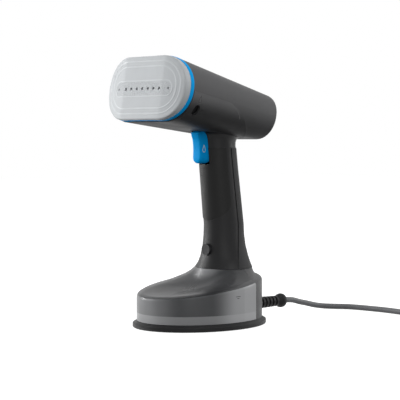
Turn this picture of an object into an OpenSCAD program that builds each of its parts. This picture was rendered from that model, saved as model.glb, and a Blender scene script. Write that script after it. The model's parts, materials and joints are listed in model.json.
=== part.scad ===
// Handheld garment steamer standing on its own oval foot.
// Millimetres, +Z up, the steam plate faces -Y, the origin is the middle of the foot on the table.

/* [Foot] */
// Width of the oval foot, side to side
foot_w = 117; // [108:1:126]
// Depth of the oval foot, front to back
foot_d = 147; // [138:1:160]
// Height of the foot's vertical rim
rim_h = 4.4; // [3.6:0.1:5]
// How far the rim stands out beyond the tank wall
rim_lip = 4; // [3:0.5:5]
// Height of the platform that the tank slides on
platform_z = 6.9; // [6.4:0.1:8]
// Height of the foot above the table
foot_lift = 0.6; // [0.4:0.1:1.2]
// Thickness of the rubber sole
sole_t = 1.4; // [1.3:0.1:1.8]
// Thickness of the plate that closes the foot
bottom_t = 2; // [1.8:0.1:2.4]

/* [Rear frame] */
// Distance of the frame's front face behind the middle of the foot
frame_y = 31; // [28:0.5:34]
// Wall of the frame
frame_wall = 2.6; // [2:0.1:3.2]

/* [Water tank] */
// Wall of the tank
tank_wall = 2.2; // [1.6:0.1:2.8]
// Thickness of the tank's top under the handle
tank_top_t = 3.5; // [3:0.1:4.5]
// Gap between the tank and what it slides past
tank_gap = 0.3; // [0.2:0.05:0.5]
// Height of the tank's rim line at the front
ridge_front_z = 32.4; // [30:0.2:35]
// Height of the rim line at the middle
ridge_mid_z = 41.8; // [40:0.2:44]
// How far the rim's rounded edge reaches in from the tank wall
edge_in = 7; // [5:0.5:8]
// Height of the rim's rounded edge
edge_drop = 4; // [3:0.2:5]
// Height of the seam between tank and handle
seam_z = 56; // [54.5:0.5:59]
// Diameter of the filling neck's bore
fill_bore = 12; // [10:0.5:12.6]
// Distance of the filling neck behind the middle of the foot
fill_y = 20; // [19:0.5:21.5]
// Diameter of the spigot that the tank is pushed on to
spigot_d = 8.4; // [7:0.2:9.4]
// Height of the spigot's axis
spigot_z = 16; // [15:0.5:19]

/* [Handle] */
// Height of the neck, where the flare above the tank ends
neck_z = 100; // [96:1:104]
// Distance of the neck's middle behind the middle of the foot
neck_y = 32.6; // [31.6:0.2:33.6]
// Width of the handle at the neck
neck_w = 37.6; // [36:0.2:39]
// Depth of the handle at the neck
neck_d = 42.4; // [41:0.2:43.6]
// Width of the handle under the head
grip_w = 35.6; // [34:0.2:37]
// Depth of the handle under the head
grip_d = 40; // [39:0.2:41.4]
// Forward lean of the handle, in degrees
lean = 6.8; // [6:0.2:7.6]
// Wall of the handle
handle_wall = 2.4; // [2:0.1:2.8]
// Radius of the fillet under the head
root_r = 6; // [4:0.5:7]
// Thickness of the soft front insert and of the spine cover
skin_t = 0.6; // [0.4:0.1:0.9]

/* [Head] */
// Width of the steam plate
plate_w = 112.3; // [106:0.5:116]
// Height of the steam plate
plate_h = 62.1; // [58:0.5:65]
// Thickness of the plate at its middle
plate_t = 4; // [3.4:0.1:5]
// How far the plate's face curves back at its ends
face_bow = 6.4; // [5:0.2:7.4]
// How far the plate's back and the ring curve back at their ends
ring_bow = 9.2; // [8.4:0.2:10]
// Place of the middle of the plate's back, along Y
plate_y = -73.4; // [-78:0.2:-71]
// Height of the middle of the plate's back
plate_z = 233.8; // [231:0.2:238]
// Backward tilt of the plate, in degrees
head_tilt = 9.5; // [8:0.1:11]
// Length of the head behind the plate
barrel_l = 144.4; // [138:0.5:152]
// Width of the head at its rear end
rear_w = 82.3; // [78:0.5:90]
// Height of the head at its rear end
rear_h = 46.4; // [44:0.2:50]
// Wall of the head
barrel_wall = 2.5; // [2:0.1:3]
// How far the accent ring stands out beyond the plate
ring_proud = 0.9; // [0.6:0.1:1.6]
// Length of the accent ring along the head
ring_l = 4; // [3:0.1:5]
// Thickness of the saddle that wraps the lower half of the head
saddle_t = 0.7; // [0.5:0.1:1]

/* [Steam holes] */
// Number of holes in the middle row
hole_count = 7; // [5:2:9]
// Distance from hole to hole
hole_pitch = 8.1; // [7:0.1:8.4]
// Diameter of a steam hole
hole_d = 3; // [2:0.1:3.4]
// Distance of the two outer holes from the middle
outer_hole_x = 36; // [35:0.5:39]

/* [Trigger and button] */
// Width of the trigger
trigger_w = 13; // [11:0.5:14]
// Gap on each side of the trigger
trigger_gap = 0.4; // [0.3:0.05:0.6]
// Diameter of the trigger's hinge pin
pin_d = 3; // [2.5:0.1:3.4]
// Diameter of the tank release button
button_d = 11.5; // [10:0.5:13]
// Height of the release button
button_z = 75; // [74:0.5:77]

/* [Cord] */
// Diameter of the mains cord
cord_d = 6; // [5.5:0.1:6.4]
// Height of the cord's exit
cord_z = 15; // [13:0.5:18]
// Length of the strain relief
relief_l = 54; // [50:1:58]
// Diameter of the strain relief at the frame
relief_d = 13; // [12:0.5:14]
// Turns beside each other in the coil
coil_cols = 4; // [3:1:5]
// Layers of turns in the coil
coil_layers = 2; // [2:1:3]

/* [Hidden] */
around = 44;

// Small helpers
function mix(a, b, t) = a + (b - a) * t;
function unit(v) = v / norm(v);

// A closed loft through rings that all have as many points, with a flat cap on each end.
module skin(rings) {
    n = len(rings[0]);
    last = len(rings) - 1;
    sides = [for (k = [0:last - 1], i = [0:n - 1]) each let (
        a = k * n + i, b = k * n + (i + 1) % n)
        [[a, a + n, b + n], [a, b + n, b]]];
    caps = [[for (i = [0:n - 1]) i], [for (i = [n - 1:-1:0]) last * n + i]];
    polyhedron(points = [for (r = rings) each r], faces = concat(sides, caps), convexity = 8);
}

// A curved sheet between an outer and an inner grid of points, rows running from edge to edge.
module sheet(outer, inner) {
    m = len(outer);
    n = len(outer[0]);
    off = m * n;
    front = [for (k = [0:m - 2], i = [0:n - 2]) each let (a = k * n + i)
        [[a, a + n, a + n + 1], [a, a + n + 1, a + 1]]];
    back = [for (f = front) [f[2] + off, f[1] + off, f[0] + off]];
    low = [for (i = [0:n - 2]) each [[i, i + 1, i + 1 + off], [i, i + 1 + off, i + off]]];
    top = [for (i = [0:n - 2]) each let (a = (m - 1) * n + i)
        [[a + 1, a, a + off], [a + 1, a + off, a + 1 + off]]];
    left = [for (k = [0:m - 2]) each let (a = k * n)
        [[a + n, a, a + off], [a + n, a + off, a + n + off]]];
    right = [for (k = [0:m - 2]) each let (a = k * n + n - 1)
        [[a, a + n, a + n + off], [a, a + n + off, a + off]]];
    polyhedron(points = [for (r = outer) each r, for (r = inner) each r],
        faces = concat(front, back, low, top, left, right), convexity = 8);
}

// A smooth route through hand-set points, with steps pieces between two of them.
function spline(p, steps) = let (m = len(p) - 1) [
    for (i = [0:m - 1], s = [0:steps - 1]) let (
        a = p[max(i - 1, 0)], b = p[i], c = p[i + 1], d = p[min(i + 2, m)], t = s / steps)
        0.5 * (2 * b + (c - a) * t + (2 * a - 5 * b + 4 * c - d) * t * t
            + (3 * b - a - 3 * c + d) * t * t * t),
    p[m]];

// Rings of a round tube swept along a route; ref is a direction the route never takes.
function tube(route, r, sides, ref) = let (m = len(route) - 1) [
    for (i = [0:m]) let (
        d = unit(route[min(i + 1, m)] - route[max(i - 1, 0)]),
        u = unit(cross(ref, d)),
        v = cross(d, u))
        [for (k = [0:sides - 1]) route[i] + r * (cos(360 * k / sides) * u + sin(360 * k / sides) * v)]];

// Points of a rectangle with round corners, counter-clockwise.
corner_steps = 9;
function rounded(w, h, r) = [
    for (q = [0:3], j = [0:corner_steps]) let (
        sx = q == 0 || q == 3 ? 1 : -1,
        sy = q < 2 ? 1 : -1,
        t = 90 * (q + j / corner_steps))
        [sx * (w / 2 - r) + r * cos(t), sy * (h / 2 - r) + r * sin(t)]];

// A rod or bore along X, Y or Z from one place to another.
module rod_x(r, x0, x1, y, z) {
    translate([x0, y, z]) rotate([0, 90, 0]) cylinder(r = r, h = x1 - x0, $fn = 48);
}
module rod_y(r, y0, y1, x, z) {
    translate([x, y0, z]) rotate([-90, 0, 0]) cylinder(r = r, h = y1 - y0, $fn = 48);
}

// Master form of tank, frame and handle
wall_a = foot_w / 2 - rim_lip;
wall_b = foot_d / 2 - rim_lip;
rim_a = wall_a - edge_in;
rim_b = wall_b - edge_in;
ridge_rise = (ridge_mid_z - ridge_front_z) / wall_b;
// The flare is a straight deck up to deck_end of the way, then a fillet about the corner height.
// Both are shares, and each changes from side to rear by its bias.
corner_height = 0.289;
corner_bias = 0.258;
deck_end = 0.7;
deck_bias = 0.233;

// Height of the rim line over a place along Y.
function ridge_z(y) = ridge_mid_z + ridge_rise * y;

// Handle section at a height: its middle, its half width and its half depth.
function grip_y(z) = neck_y - tan(lean) * (z - neck_z);
function grip_part(z) = min(max((z - neck_z) / 60, 0), 1);
function grip_a(z) = mix(neck_w, grip_w, grip_part(z)) / 2;
function grip_b(z) = mix(neck_d, grip_d, grip_part(z)) / 2;
function grip_point(t, z, grow) =
    [(grip_a(z) + grow) * cos(t), grip_y(z) + (grip_b(z) + grow) * sin(t), z];

// How far out the flare still is at a part of its height: 1 at the rim and 0 at the neck.
function flare_share(part, t) = let (
    c = corner_height + corner_bias * sin(t),
    s = deck_end + deck_bias * sin(t),
    start = c * (1 - s),
    b = c - start,
    q = (part - start) / (b + sqrt(b * b + (1 - c * (1 + s)) * max(part - start, 0))))
    part < start ? 1 - part / c : s * pow(1 - q, 2);

// A point of the flare: part 0 is the rim line and part 1 the neck.
function rim_z(t, grow) = ridge_z(rim_b * sin(t)) + min(grow, 0);
function flare_point(t, part, grow) = let (
    share = flare_share(part, t),
    g = grip_point(t, neck_z, grow))
    [
        mix(g.x, (rim_a + grow) * cos(t), share),
        mix(g.y, (rim_b + grow) * sin(t), share),
        mix(rim_z(t, grow), neck_z, part)];
function seam_part(t, z, grow) = (z - rim_z(t, grow)) / (neck_z - rim_z(t, grow));
function angles() = [for (i = [0:around - 1]) 360 * i / around];
function oval(z, grow) = [for (t = angles()) [(wall_a + grow) * cos(t), (wall_b + grow) * sin(t), z]];
function edge_ring(u, grow) = [for (t = angles()) let (inset = edge_in * (1 - cos(u)) - grow)
    [(wall_a - inset) * cos(t), (wall_b - inset) * sin(t), rim_z(t, grow) - edge_drop * (1 - sin(u))]];

// Rings from a flat bottom up over the rim to a flat top at the seam.
edge_steps = [0, 30, 60, 90];
deck_steps = [0.05, 0.15, 0.3, 0.5, 0.74, 1];
function lower_rings(bottom, top, grow) = concat(
    [oval(bottom, grow)],
    [for (u = edge_steps) edge_ring(u, grow)],
    [for (s = deck_steps) [for (t = angles()) flare_point(t, s * seam_part(t, top, grow), grow)]]);

// Underside of the head: a plane from the ring's lower edge to the rear end's lower edge.
function head_point(x, u, a) = [
    x,
    plate_y + cos(head_tilt) * a + sin(head_tilt) * u,
    plate_z - sin(head_tilt) * a + cos(head_tilt) * u];
bow_share = ring_bow / (barrel_l - ring_l);
front_w = (plate_w + 0.3 - rear_w * bow_share) / (1 - bow_share);
front_h = plate_h + 0.5;
plate_rise = 0.95;
rear_rise = -2.3;
rear_lean = 3;
rear_r = 3;
corner_flat = 1;
under_front = head_point(0, plate_rise - front_h / 2, ring_l);
under_rear = head_point(0, rear_rise - rear_h / 2, barrel_l - rear_h / 2 * sin(rear_lean));
under_slope = (under_rear.z - under_front.z) / (under_rear.y - under_front.y);
function under_z(y) = under_front.z + under_slope * (y - under_front.y);

// Rings of the handle from the seam to the head; down and up lengthen both ends.
upper_steps = [0, 0.12, 0.28, 0.5, 0.75, 1];
grip_levels = [110, 125, 140, 155, 170];
root_steps = [1, 0.6, 0.3, 0.12, 0];
saddle_drop = saddle_t * (cos(head_tilt) - under_slope * sin(head_tilt));
function root_grow(s) = root_r * 0.8 * (1 - sqrt(1 - pow(1 - s, 2) * 0.96));
rear_root = 0.5;
function root_ring(s, grow, up) =
    [for (t = angles()) let (
        fuller = 1 + rear_root * max(sin(t), 0),
        drop = s * root_r * fuller + saddle_drop,
        add = root_grow(s) * fuller,
        x = (grip_w / 2 + grow + add * 0.35) * cos(t),
        off = (grip_d / 2 + grow + add) * sin(t),
        y = (grip_y(0) + off - tan(lean) * (under_z(0) - drop)) / (1 + tan(lean) * under_slope))
        [x, y, under_z(y) - drop + up]];
function above_seam(t, s, z, grow) = flare_point(t, mix(seam_part(t, z, grow), 1, s), grow);
function handle_rings(grow, down, up) = concat(
    down > 0 ? [[for (t = angles()) above_seam(t, 0, seam_z, grow) - [0, 0, down]]] : [],
    [for (s = upper_steps) [for (t = angles()) above_seam(t, s, seam_z, grow)]],
    [for (z = grip_levels) [for (t = angles()) grip_point(t, z, grow)]],
    [for (s = root_steps) root_ring(s, grow, 0)],
    up > 0 ? [root_ring(0, grow, up)] : []);

// Foot and frame
module half_space(y0, y1, z0, z1) { translate([-foot_w, y0, z0]) cube([2 * foot_w, y1 - y0, z1 - z0]); }
pocket_a = wall_a - 6;
pocket_b = wall_b - 6;
sole_inset = 9;
module oval_prism(a, b, z0, z1) {
    translate([0, 0, z0]) linear_extrude(z1 - z0) polygon([for (t = angles()) [a * cos(t), b * sin(t)]]);
}
module foot_base() {
    fillet = 0.5;
    color("#2e2f31") difference() {
        union() {
            skin([oval(foot_lift, rim_lip - fillet), oval(foot_lift + fillet, rim_lip),
                oval(rim_h, rim_lip), oval(rim_h + fillet, rim_lip - fillet),
                oval(platform_z - 0.8, 1.4), oval(platform_z, 0.4)]);
            intersection() {
                skin(lower_rings(foot_lift + 1, seam_z, 0));
                half_space(frame_y, foot_d, 0, seam_z + 1);
            }
        }
        oval_prism(pocket_a, pocket_b, -1, foot_lift + bottom_t + 1);
        intersection() {
            skin(lower_rings(platform_z + 2, seam_z + 5, -frame_wall));
            half_space(frame_y + frame_wall, foot_d, 0, seam_z + 2);
        }
        rod_y(spigot_d / 2, frame_y - 1, frame_y + frame_wall + 1, 0, spigot_z);
        rod_y(relief_d / 2 - 1, wall_b - 8, wall_b + 5, 0, cord_z);
    }
}

screw_y = pocket_b - sole_inset / 2;
module bottom_plate() {
    gap = 0.2;
    color("#26272a") difference() {
        oval_prism(pocket_a - gap, pocket_b - gap, foot_lift, foot_lift + bottom_t);
        oval_prism(pocket_a - sole_inset + gap, pocket_b - sole_inset + gap, -1, sole_t);
        for (s = [-1, 1]) translate([0, s * screw_y, -1]) cylinder(d = 3.2, h = bottom_t + 3, $fn = 32);
    }
}

module foot_sole() {
    color("#1b1b1c") oval_prism(pocket_a - sole_inset, pocket_b - sole_inset, 0, sole_t);
}

module base_screws() {
    head_t = 0.5;
    color("#8d9094") for (s = [-1, 1]) translate([0, s * screw_y, foot_lift - head_t]) {
        cylinder(d = 5.6, h = head_t, $fn = 32);
        cylinder(d = 3, h = head_t + bottom_t + 1, $fn = 32);
    }
}

// Handle
slot_w = trigger_w + 2 * trigger_gap;
slot_low = 160.4;
slot_rear = 14;
module trigger_slot(grow, front) {
    translate([-slot_w / 2 - grow, front, slot_low - grow]) cube([slot_w + 2 * grow, slot_rear - front, 60]);
}
guide_y = 19.4;
guide_t = 1.6;
guide_low = -6;
guide_h = 11;
stem_w = 6;
stem_low = -4;
stem_top = 2;
stem_gap = 0.2;
module handle_shell() {
    color("#3a3b3d") difference() {
        union() {
            difference() {
                skin(handle_rings(0, 0, 0));
                skin(handle_rings(-handle_wall, 1, 1));
            }
            // A wall across the handle that guides the button's stem.
            intersection() {
                skin(handle_rings(-handle_wall / 2, 0, 0));
                translate([-foot_w, guide_y, button_z + guide_low]) cube([2 * foot_w, guide_t, guide_h]);
            }
        }
        trigger_slot(0, -20);
        rod_y(button_d / 2 + 0.08, -5, guide_y - 1, 0, button_z);
        translate([-stem_w / 2 - stem_gap, guide_y - 1, button_z + stem_low - stem_gap])
            cube([stem_w + 2 * stem_gap, guide_t + 2, stem_top - stem_low + 2 * stem_gap]);
    }
}

// Sheets that cover the handle at a list of angles, from a lower edge up to just under the head.
sheet_gap = 0.05;
sheet_top = 177;
turn = 360 / around;
module handle_sheet(ts, low) {
    function row(s, grow) = [for (t = ts) grip_point(t, mix(low(t), sheet_top, s), grow)];
    rows = [0, 0.2, 0.4, 0.6, 0.8, 1];
    sheet([for (s = rows) row(s, skin_t)], [for (s = rows) row(s, sheet_gap)]);
}
insert_low = 104;
insert_side_low = 120;
insert_start = -20.5;
insert_end = -1.5;
module grip_insert() {
    ts = [insert_start * turn, for (i = [ceil(insert_start):floor(insert_end)]) i * turn, insert_end * turn];
    // The lower edge is a round tongue, deepest at the front.
    function low(t) = let (part = (t / turn - insert_start) / (insert_end - insert_start))
        mix(insert_side_low, insert_low, pow(sin(180 * part), 0.7));
    color("#2b2c2e") difference() {
        handle_sheet(ts, function (t) low(t));
        trigger_slot(0.3, -20);
    }
}
module spine_cover() {
    foot_gap = 0.2;
    ts = [for (i = [1:around / 2 - 1]) i * turn];
    function rows(grow) = concat(
        [for (s = upper_steps) [for (t = ts) above_seam(t, s, seam_z + foot_gap, grow)]],
        [for (z = [125, 155, sheet_top]) [for (t = ts) grip_point(t, z, grow)]]);
    color("#4d4e50") sheet(rows(skin_t), rows(sheet_gap));
}

// Head
module head() { translate([0, plate_y, plate_z]) rotate([90 - head_tilt, 0, 0]) children(); }
function bow_r(depth) = (pow(plate_w / 2, 2) + depth * depth) / (2 * depth);
function bow(x, depth) = bow_r(depth) - sqrt(pow(bow_r(depth), 2) - x * x);
function corner(h, inset) = h / 2 - corner_flat - inset;

// Cylinder whose face bows back by depth at the plate's ends, front being its foremost line.
module bowed(depth, front) {
    translate([0, -plate_w, front - bow_r(depth)]) rotate([-90, 0, 0])
        cylinder(r = bow_r(depth), h = 2 * plate_w, $fn = 200);
}

// Section of the head: part 0 is the plane behind the ring and part 1 the rear end.
function barrel_ring(part, inset, back) = let (
    f = rounded(front_w - 2 * inset, front_h - 2 * inset, corner(front_h, inset)),
    r = rounded(rear_w - 2 * inset, rear_h - 2 * inset, corner(rear_h, inset)))
    [for (i = [0:len(f) - 1])
        [mix(f[i].x, r[i].x, part), mix(f[i].y + plate_rise, r[i].y + rear_rise, part),
            -mix(ring_l, barrel_l - back + r[i].y * sin(rear_lean), part)]];
function head_part(a) = (a - ring_l) / (barrel_l - ring_l);
function floor_u(a) = mix(plate_rise - front_h / 2, rear_rise - rear_h / 2, head_part(a)) + barrel_wall;
round_steps = [90, 60, 30, 0];
barrel_parts = [0.8, 0.6, 0.4, 0.2, 0];
slot_front = -8.8;
leads_w = 25.6;
leads_rear = 31.5;
// One opening in the head's floor, narrow for the trigger and wide for the hose and leads.
module floor_opening() {
    half = [
        [slot_w / 2, slot_front], [slot_w / 2, slot_rear],
        [leads_w / 2, slot_rear], [leads_w / 2, leads_rear]];
    translate([0, 0, slot_low]) linear_extrude(60) polygon(concat(
        half,
        [for (i = [len(half) - 1:-1:0]) [-half[i].x, half[i].y]]));
}
module barrel_shell() {
    color("#55565a") difference() {
        head() intersection() {
            skin(concat(
                [for (t = round_steps) barrel_ring(1, rear_r * (1 - cos(t)), rear_r * (1 - sin(t)))],
                [for (s = barrel_parts) barrel_ring(s, 0, rear_r)]));
            bowed(ring_bow, -ring_l);
        }
        head() skin([barrel_ring(1, barrel_wall, barrel_wall), barrel_ring(-0.1, barrel_wall, barrel_wall)]);
        floor_opening();
        for (sx = [-1, 1]) catch_recess(sx);
    }
}

// Oval recess on each side of the head, where an accessory clips on.
catch_a = 24;
catch_low = 34;
catch_depth = 1.9;
catch_w = 7.6;
catch_h = 11.4;
module catch_recess(sx) {
    part = head_part(catch_a);
    r = mix(corner(front_h, 0), corner(rear_h, 0), part);
    x = mix(front_w, rear_w, part) / 2 - r;
    u = mix(plate_rise, rear_rise, part) - corner_flat;
    head() translate([sx * x, u, -catch_a]) rotate([0, 0, sx > 0 ? -catch_low : 180 + catch_low])
        rotate([0, 90, 0]) translate([0, 0, r - catch_depth]) linear_extrude(8)
            polygon(rounded(catch_w, catch_h, catch_w / 2 - 0.1));
}

// Angle of the outline's normal at a point of rounded().
function normal_angle(k) = 90 * (floor(k / (corner_steps + 1)) + (k % (corner_steps + 1)) / corner_steps);
saddle_reach = 124;
saddle_side = 42;
saddle_end = 14;
module saddle() {
    first = 2 * (corner_steps + 1);
    count = 2 * (corner_steps + 1) - 1;
    front = barrel_ring(0, 0, rear_r);
    rear = barrel_ring(1, 0, rear_r);
    // From mid-height on the far side, under the head, to mid-height on the near side.
    function reach(i) = let (w = abs(2 * i / count - 1))
        (saddle_reach - saddle_side * pow(w, 1.3) - saddle_end * pow(w, 12)) / barrel_l;
    // The front edge follows the ring's bowed back.
    function start(i) = let (k = first + i)
        (bow(abs(front[k].x) + saddle_t, ring_bow) + 0.1) / (-rear[k].z - ring_l);
    function on_head(i, s, grow) = let (
        k = first + i,
        p = mix(front[k], rear[k], mix(start(i), reach(i), s)),
        t = normal_angle(k))
        [p.x + grow * cos(t), p.y + grow * sin(t), p.z];
    rows = [for (s = [0:6]) s / 6];
    color("#4a4b4e") difference() {
        head() sheet([for (s = rows) [for (i = [0:count]) on_head(i, s, saddle_t)]],
            [for (s = rows) [for (i = [0:count]) on_head(i, s, sheet_gap)]]);
        floor_opening();
        for (sx = [-1, 1]) catch_recess(sx);
    }
}

module stadium(inset) {
    translate([0, plate_rise])
        polygon(rounded(plate_w - 2 * inset, plate_h - 2 * inset, corner(plate_h, inset)));
}

module accent_ring() {
    color("#1b8fe0") head() difference() {
        intersection() {
            translate([0, 0, -20]) linear_extrude(30) difference() {
                stadium(-ring_proud);
                stadium(1);
            }
            bowed(ring_bow, 0);
        }
        bowed(ring_bow, -ring_l + 0.02);
    }
}

module steam_plate() {
    edge = 1.8;
    steps = [[0, -9], [0, -1.6], [0.1, -1], [0.4, -0.4], [1, -0.1], [edge, 0]];
    hole_xs = [for (i = [0:hole_count - 1]) (i - (hole_count - 1) / 2) * hole_pitch];
    // The face's height over a place across the plate.
    function face(x) = plate_t - bow(x, face_bow);
    function ring_at(s) = [for (p = rounded(plate_w - 2 * s[0], plate_h - 2 * s[0], corner(plate_h, s[0])))
        [p.x, p.y + plate_rise, face(p.x) + s[1]]];
    rings = [for (s = steps) ring_at(s)];
    n = len(rings[0]);
    half = n / 2;
    last = len(rings) - 1;
    sides = [for (k = [0:last - 1], i = [0:n - 1]) each let (a = k * n + i, b = k * n + (i + 1) % n)
        [[a, a + n, b + n], [a, b + n, b]]];
    // Upper and lower points of one place across the plate close the bowed face in strips.
    strip = [for (i = [0:half - 2]) each let (a = last * n + i, b = last * n + n - 1 - i)
        [[a, b, b - 1], [a, b - 1, a + 1]]];
    floor = [for (i = [0:half - 2]) each let (a = i, b = n - 1 - i)
        [[a, b - 1, b], [a, a + 1, b - 1]]];
    color("#c3c7ca") head() difference() {
        polyhedron(points = [for (r = rings) each r], faces = concat(sides, strip, floor), convexity = 4);
        bowed(ring_bow, 0);
        for (x = hole_xs) translate([x, 0, -2]) cylinder(d = hole_d, h = 12, $fn = 32);
        for (x = [-outer_hole_x, outer_hole_x]) translate([x, 0, -4])
            cylinder(d = hole_d * 0.7, h = 12, $fn = 32);
    }
}

// Steam generator stack behind the plate
carrier_l = 14;
core_l = 30;
core_w = 92;
core_h = 40;
nose_w = 80;
nose_h = 30;
cover_t = 3;
module round_block(w, h, a0, a1) {
    translate([0, plate_rise, -a1]) linear_extrude(a1 - a0) polygon(rounded(w, h, h / 2 - corner_flat));
}
module plate_carrier() {
    side_gap = 4.2;
    color("#191a1b") head() difference() {
        intersection() {
            round_block(plate_w - 2 * side_gap, plate_h - 2 * 3.2, -2, carrier_l);
            bowed(ring_bow, -0.05);
        }
        round_block(nose_w + 1, nose_h + 1, -4, carrier_l + 1);
    }
}
module steam_generator() {
    color("#a9acae") head() difference() {
        union() {
            intersection() {
                round_block(nose_w, nose_h, -2, carrier_l + 2);
                bowed(ring_bow, -0.05);
            }
            round_block(core_w, core_h, carrier_l + 0.1, core_l);
        }
        round_block(nose_w - 14, 6, -4, core_l - 8);
        translate([14, plate_rise, -core_l - 1]) cylinder(d = 5, h = 12, $fn = 32);
    }
}
module generator_cover() {
    color("#9a9da0") head() difference() {
        round_block(core_w, core_h, core_l, core_l + cover_t);
        translate([14, plate_rise, -core_l - cover_t - 1]) cylinder(d = 5, h = cover_t + 2, $fn = 32);
        for (p = screw_places) translate([p.x, p.y + plate_rise, -core_l - cover_t - 1])
            cylinder(d = 3, h = cover_t + 2, $fn = 32);
    }
}
screw_places = [for (sx = [-1, 1], sy = [-1, 1]) [sx * 34, sy * 14]];
module generator_screws() {
    head_t = 1.8;
    back = -core_l - cover_t - head_t;
    color("#c9ccd0") head() for (p = screw_places) translate([p.x, p.y + plate_rise, back]) {
        cylinder(d = 5.4, h = head_t, $fn = 32);
        cylinder(d = 2.8, h = head_t + cover_t, $fn = 32);
    }
}
module heating_element() {
    bend = 11;
    rod = 6.4;
    a = core_l + cover_t + rod / 2;
    leg = 30;
    color("#7d8083") head() translate([-6, plate_rise, -a]) {
        rotate([0, 0, 90]) rotate_extrude(angle = 180, $fn = 64)
            translate([bend, 0]) circle(d = rod, $fn = 32);
        for (s = [-1, 1]) translate([0, s * bend, 0]) rotate([0, 90, 0]) {
            translate([0, 0, -0.01]) cylinder(d = rod, h = leg, $fn = 32);
            translate([0, 0, leg]) cylinder(d = 2.6, h = 7, $fn = 32);
        }
    }
}
module thermostat() {
    color("#d8d9d4") head() translate([0, plate_rise, -core_l - cover_t]) mirror([0, 0, 1]) {
        cylinder(d = 14, h = 5, $fn = 48);
        for (s = [-1, 1]) translate([s * 4 - 0.4, -1.6, 5]) cube([0.8, 3.2, 5]);
    }
}
module thermal_fuse() {
    color("#e4e2da") head() translate([-32, plate_rise - 8, -core_l - cover_t - 2]) rotate([-90, 0, 0]) {
        cylinder(d = 4, h = 16, $fn = 32);
        translate([0, 0, -4]) cylinder(d = 1, h = 24, $fn = 24);
    }
}

// Pump in the rear of the head
hose_d = 6;
pump_d = 19;
pump_u = -1.5;
nipple_low = -17;
// The inlet stands over the hose that comes up in the handle, and the pump fills the length behind it.
inlet_y = 26.9;
inlet_a = (inlet_y - plate_y - sin(head_tilt) * nipple_low) / cos(head_tilt);
pump_a0 = inlet_a - 4.5;
pump_l = barrel_l - barrel_wall - 3 - pump_a0;
outlet_a = inlet_a;
outlet_x = 13;
mount_t = 4;
coil_a = inlet_a + hose_d / 2 + 1.6 + mount_t;
coil_l = pump_a0 + pump_l - mount_t - 1 - coil_a;
module along_head(a) { head() translate([0, pump_u, -a]) mirror([0, 0, 1]) children(); }
module pump_body() {
    color("#cfd0cc") {
        along_head(pump_a0) cylinder(d = pump_d, h = pump_l, $fn = 64);
        head() translate([0, pump_u, -outlet_a]) rotate([0, 90, 0]) cylinder(d = 4, h = outlet_x, $fn = 32);
        head() translate([0, nipple_low, -inlet_a]) rotate([-90, 0, 0])
            cylinder(d = hose_d, h = pump_u - nipple_low, $fn = 32);
    }
}
module pump_coil() {
    color("#7c3b22") along_head(coil_a) difference() {
        cylinder(d = 30, h = coil_l, $fn = 64);
        translate([0, 0, -1]) cylinder(d = pump_d, h = coil_l + 2, $fn = 64);
    }
}
module pump_mounts() {
    rise = 13;
    w = 28;
    color("#222223") for (a = [coil_a - mount_t, coil_a + coil_l])
        along_head(a) difference() {
            low = floor_u(a + mount_t) + 0.2 - pump_u;
            translate([-w / 2, low, 0]) cube([w, rise - low, mount_t]);
            translate([0, 0, -1]) cylinder(d = pump_d, h = mount_t + 2, $fn = 64);
        }
}

// Hoses
hose_start = [0, 42, spigot_z];
hose_end = head_point(0, nipple_low, inlet_a);
inlet_route = [
    hose_start + [0, 1.5, 0], [0, 46.5, 18], [0, 48, 23], [0, 48, 36], [0, 45, 56], [0, 41, 80], [0, 38, 110],
    [0, 34, 140], [0, 31, 165], [0, inlet_y + 1, 182], head_point(0, nipple_low - 2, inlet_a)];
module inlet_hose() {
    path = concat([hose_start], spline(inlet_route, 3), [hose_end]);
    color("#d6d2c4") skin(tube(path, hose_d / 2, 10, [1, 0, 0]));
}
module steam_hose() {
    inlet = [14, plate_rise, -core_l - cover_t];
    start = [outlet_x, pump_u, -outlet_a];
    route = [
        start + [2, 0, 0], [19, pump_u, -outlet_a + 1], [23, 0, -outlet_a + 9],
        [24, 0, -80], [24, 0, -64], [20, plate_rise, -48], inlet - [0, 0, 2]];
    color("#e7e5de") head() skin(tube(concat([start], spline(route, 3), [inlet]), 2, 8, [0, 1, 0]));
}

// Tank coupling
spigot_tip = frame_y - 8;
module tank_spigot() {
    flange = 1.6;
    color("#c7c9ca") difference() {
        union() {
            rod_y(spigot_d / 2, spigot_tip, frame_y + frame_wall + 4, 0, spigot_z);
            rod_y(spigot_d / 2 + 2, frame_y + frame_wall, frame_y + frame_wall + flange, 0, spigot_z);
            rod_y(hose_d / 2, frame_y + frame_wall + 4, 42, 0, spigot_z);
        }
        rod_y(1.5, spigot_tip - 1, 43, 0, spigot_z);
        translate([0, spigot_tip + 3, spigot_z]) rotate([90, 0, 0]) rotate_extrude($fn = 48)
            translate([spigot_d / 2, 0]) circle(d = 1.8, $fn = 24);
    }
}
module spigot_seal() {
    color("#151515") translate([0, spigot_tip + 3, spigot_z]) rotate([90, 0, 0])
        rotate_extrude($fn = 48) translate([spigot_d / 2, 0]) circle(d = 1.6, $fn = 24);
}

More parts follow.
